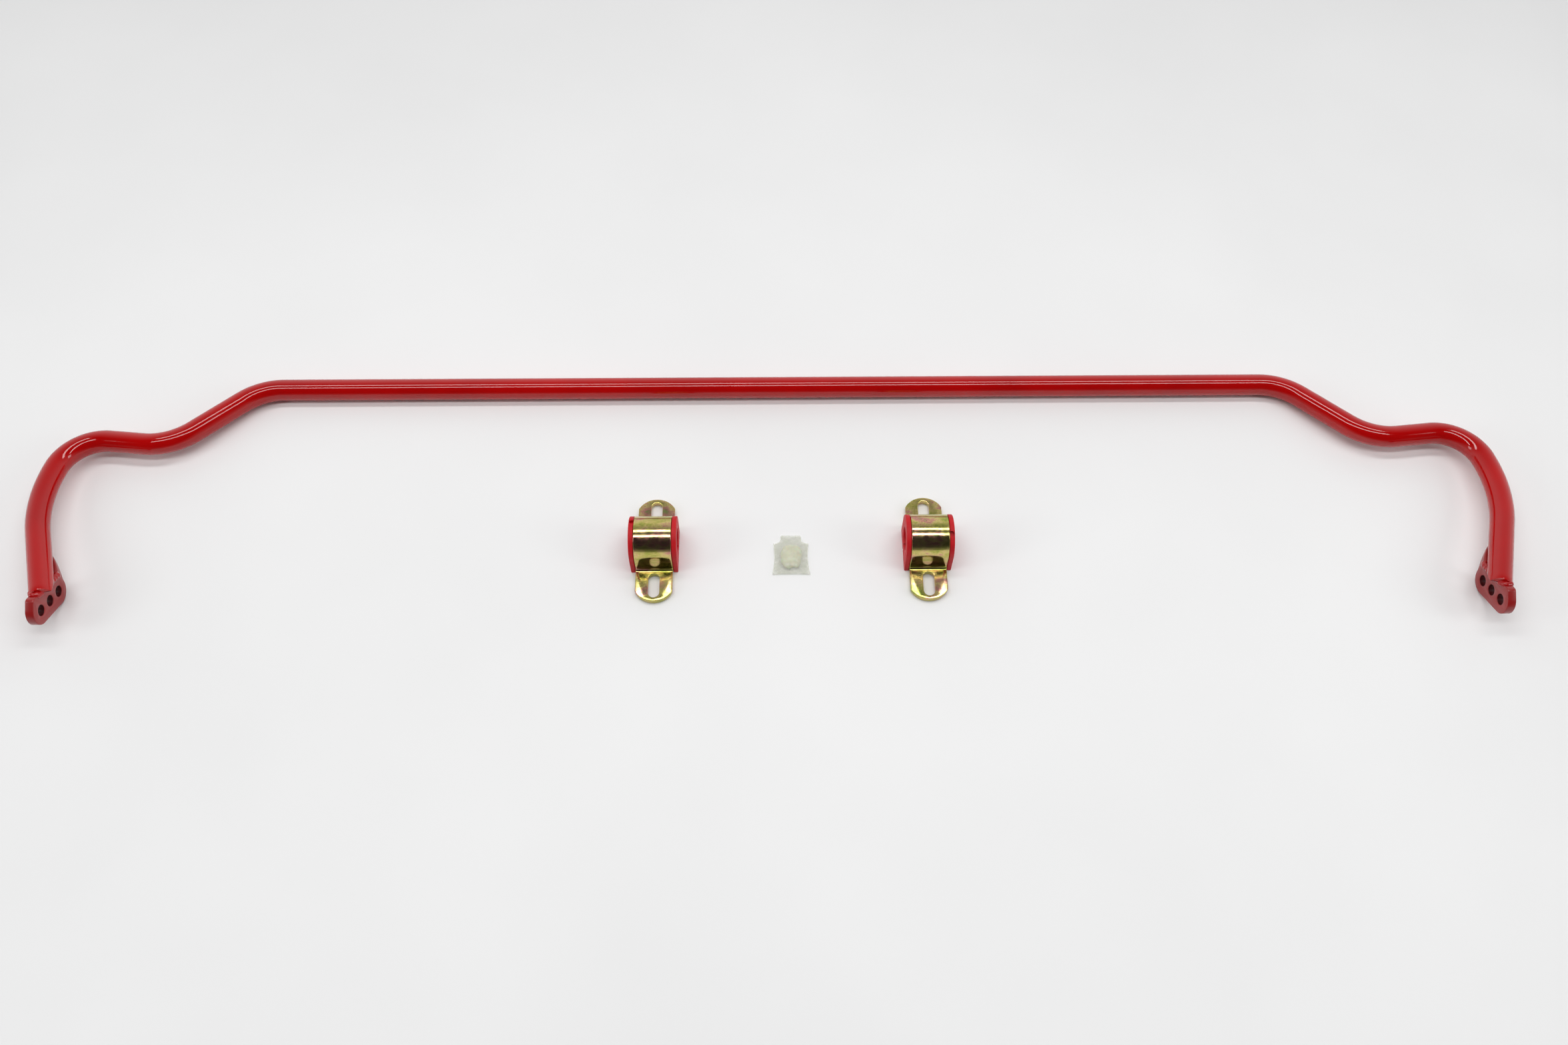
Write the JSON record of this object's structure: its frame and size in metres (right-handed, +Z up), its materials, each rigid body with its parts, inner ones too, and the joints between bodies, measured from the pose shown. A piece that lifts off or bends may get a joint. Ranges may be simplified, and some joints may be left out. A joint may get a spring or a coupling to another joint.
{
  "type": "sway bar",
  "caption": "Bent sway bar with drilled end plates, split flanged bushings, slotted strap brackets and a sachet of bushing grease, laid out ready to fit.",
  "frame": {"origin": "centre of the whole kit's box in plan, on the surface that it lies on", "axes": "+X to the right along the bar, -Y forward towards the arm ends, +Z up"},
  "size_m": [1.1888, 0.2366, 0.0382],
  "materials": {
    "red_coat": "glossy",
    "weld_coat": "glossy",
    "polyurethane": "satin",
    "yellow_zinc": "mirror, iridescent yellow zinc",
    "film": "clear, glossy",
    "grease": "wet, translucent"
  },
  "bodies": {
    "set_base": {"left_bushing": "polyurethane", "right_bushing": "polyurethane", "sachet_lower_film": "film", "sachet_upper_film": "film", "grease": "grease"},
    "bar": {"bar": "red_coat", "left_end_plate": "red_coat", "right_end_plate": "red_coat", "left_end_weld": "weld_coat", "right_end_weld": "weld_coat"},
    "left_bracket": {"left_bracket": "yellow_zinc"},
    "right_bracket": {"right_bracket": "yellow_zinc"}
  },
  "joints": [
    {"name": "bar_roll", "type": "hinge", "parent": "set_base", "child": "bar", "pos_m": [0, 0.10926, 0.009], "axis": [-1, 0, 0], "range_deg": [0, 45]},
    {"name": "left_bracket_lift", "type": "slide", "parent": "set_base", "child": "left_bracket", "axis": [0, 0, 1], "range_m": [0, 0.045]},
    {"name": "right_bracket_lift", "type": "slide", "parent": "set_base", "child": "right_bracket", "axis": [0, 0, 1], "range_m": [0, 0.045]}
  ]
}
